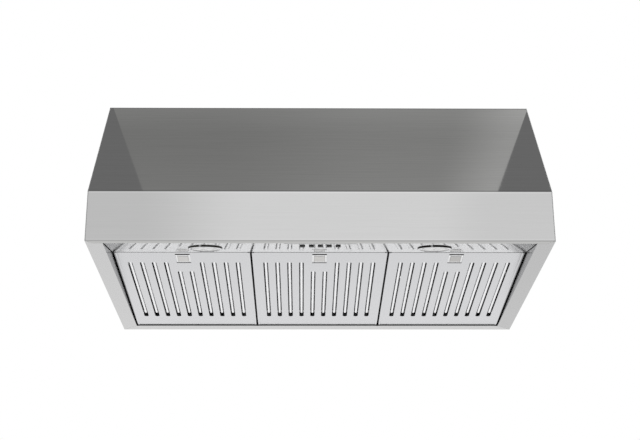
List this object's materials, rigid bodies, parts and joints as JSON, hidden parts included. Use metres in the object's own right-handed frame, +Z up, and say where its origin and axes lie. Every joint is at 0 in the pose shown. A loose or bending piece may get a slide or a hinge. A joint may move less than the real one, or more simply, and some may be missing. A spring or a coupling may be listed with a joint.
{
  "type": "wall mount range hood",
  "caption": "Wall mount range hood: brushed steel canopy with a sloped front, an inclined control strip with lights and push buttons, and hinged baffle filters below a ducted blower.",
  "frame": {"origin": "on the wall plane, at the middle of the hood's bottom back edge", "axes": "+Z up, +X to the right for someone facing the hood, front faces -Y"},
  "size_m": [0.9144, 0.61, 0.4288],
  "materials": {
    "brushed_shell": "brushed along the width",
    "polished_strip": "mirror polished",
    "filter_steel": "bright satin",
    "black_plastic": "moulded matt",
    "button_black": "smooth black",
    "ring_chrome": "polished",
    "lens_glass": "frosted diffuser",
    "lamp_aluminium": "turned",
    "galvanised": "zinc coated sheet",
    "motor_paint": "satin black",
    "screw_steel": "plain steel",
    "spring_steel": "plain spring steel",
    "black_rubber": "matt",
    "pale_plastic": "moulded matt"
  },
  "bodies": {
    "hood": {"back_panel": "brushed_shell", "blower_housing": "galvanised", "cable_bush": "black_rubber", "capacitor": "pale_plastic", "collar_screws": "screw_steel", "control_bezel": "polished_strip", "control_strip": "polished_strip", "cover_screws": "screw_steel", "damper_rod": "screw_steel", "duct_collar": "galvanised", "filter_1_catch": "spring_steel", "filter_2_catch": "spring_steel", "filter_3_catch": "spring_steel", "front_shell": "brushed_shell", "junction_box": "galvanised", "junction_box_cover": "galvanised", "lamp_driver": "black_plastic", "left_lamp_body": "lamp_aluminium", "left_light_lens": "lens_glass", "left_light_ring": "ring_chrome", "left_side_liner": "brushed_shell", "left_side_panel": "brushed_shell", "motor": "motor_paint", "motor_bracket": "galvanised", "right_lamp_body": "lamp_aluminium", "right_light_lens": "lens_glass", "right_light_ring": "ring_chrome", "right_side_liner": "brushed_shell", "right_side_panel": "brushed_shell", "switch_body": "black_plastic", "terminal_block": "pale_plastic", "top_panel": "brushed_shell", "top_screws": "screw_steel"},
    "button_1": {"button_1": "button_black"},
    "button_2": {"button_2": "button_black"},
    "button_3": {"button_3": "button_black"},
    "button_4": {"button_4": "button_black"},
    "button_5": {"button_5": "button_black"},
    "filter_1": {"filter_1_face": "filter_steel", "filter_1_baffles": "filter_steel", "filter_1_latch_guide": "filter_steel", "filter_1_latch_spring": "spring_steel"},
    "latch_1": {"filter_1_latch": "filter_steel"},
    "filter_2": {"filter_2_face": "filter_steel", "filter_2_baffles": "filter_steel", "filter_2_latch_guide": "filter_steel", "filter_2_latch_spring": "spring_steel"},
    "latch_2": {"filter_2_latch": "filter_steel"},
    "filter_3": {"filter_3_face": "filter_steel", "filter_3_baffles": "filter_steel", "filter_3_latch_guide": "filter_steel", "filter_3_latch_spring": "spring_steel"},
    "latch_3": {"filter_3_latch": "filter_steel"},
    "fan": {"blower_wheel": "galvanised", "motor_shaft": "screw_steel"},
    "front_damper": {"front_damper_flap": "galvanised"},
    "rear_damper": {"rear_damper_flap": "galvanised"}
  },
  "joints": [
    {"name": "button_1_press", "type": "slide", "parent": "hood", "child": "button_1", "axis": [0, -0.2011, 0.9796], "range_m": [0, 0.002], "stiffness_N_per_m": 300, "springref_m": -0.002},
    {"name": "button_2_press", "type": "slide", "parent": "hood", "child": "button_2", "axis": [0, -0.2011, 0.9796], "range_m": [0, 0.002], "stiffness_N_per_m": 300, "springref_m": -0.002},
    {"name": "button_3_press", "type": "slide", "parent": "hood", "child": "button_3", "axis": [0, -0.2011, 0.9796], "range_m": [0, 0.002], "stiffness_N_per_m": 300, "springref_m": -0.002},
    {"name": "button_4_press", "type": "slide", "parent": "hood", "child": "button_4", "axis": [0, -0.2011, 0.9796], "range_m": [0, 0.002], "stiffness_N_per_m": 300, "springref_m": -0.002},
    {"name": "button_5_press", "type": "slide", "parent": "hood", "child": "button_5", "axis": [0, -0.2011, 0.9796], "range_m": [0, 0.002], "stiffness_N_per_m": 300, "springref_m": -0.002},
    {"name": "filter_1_swing", "type": "hinge", "parent": "hood", "child": "filter_1", "pos_m": [-0.28227, -0.03, 0.0024], "axis": [1, 0, 0], "range_deg": [0, 70], "deforming": ["filter_1_catch"]},
    {"name": "latch_1_slide", "type": "slide", "parent": "filter_1", "child": "latch_1", "axis": [0, 0.9984, -0.0573], "range_m": [0, 0.006], "stiffness_N_per_m": 400, "springref_m": -0.004, "deforming": ["filter_1_latch_spring"]},
    {"name": "filter_2_swing", "type": "hinge", "parent": "hood", "child": "filter_2", "pos_m": [0, -0.03, 0.0024], "axis": [1, 0, 0], "range_deg": [0, 70], "deforming": ["filter_2_catch"]},
    {"name": "latch_2_slide", "type": "slide", "parent": "filter_2", "child": "latch_2", "axis": [0, 0.9984, -0.0573], "range_m": [0, 0.006], "stiffness_N_per_m": 400, "springref_m": -0.004, "deforming": ["filter_2_latch_spring"]},
    {"name": "filter_3_swing", "type": "hinge", "parent": "hood", "child": "filter_3", "pos_m": [0.28227, -0.03, 0.0024], "axis": [1, 0, 0], "range_deg": [0, 70], "deforming": ["filter_3_catch"]},
    {"name": "latch_3_slide", "type": "slide", "parent": "filter_3", "child": "latch_3", "axis": [0, 0.9984, -0.0573], "range_m": [0, 0.006], "stiffness_N_per_m": 400, "springref_m": -0.004, "deforming": ["filter_3_latch_spring"]},
    {"name": "fan_spin", "type": "hinge", "parent": "hood", "child": "fan", "pos_m": [0, -0.26, 0.24], "axis": [1, 0, 0], "continuous": true},
    {"name": "front_damper_swing", "type": "hinge", "parent": "hood", "child": "front_damper", "pos_m": [0, -0.2, 0.4028], "axis": [-1, 0, 0], "range_deg": [0, 78]},
    {"name": "rear_damper_swing", "type": "hinge", "parent": "hood", "child": "rear_damper", "pos_m": [0, -0.2, 0.4028], "axis": [1, 0, 0], "range_deg": [0, 78]}
  ]
}
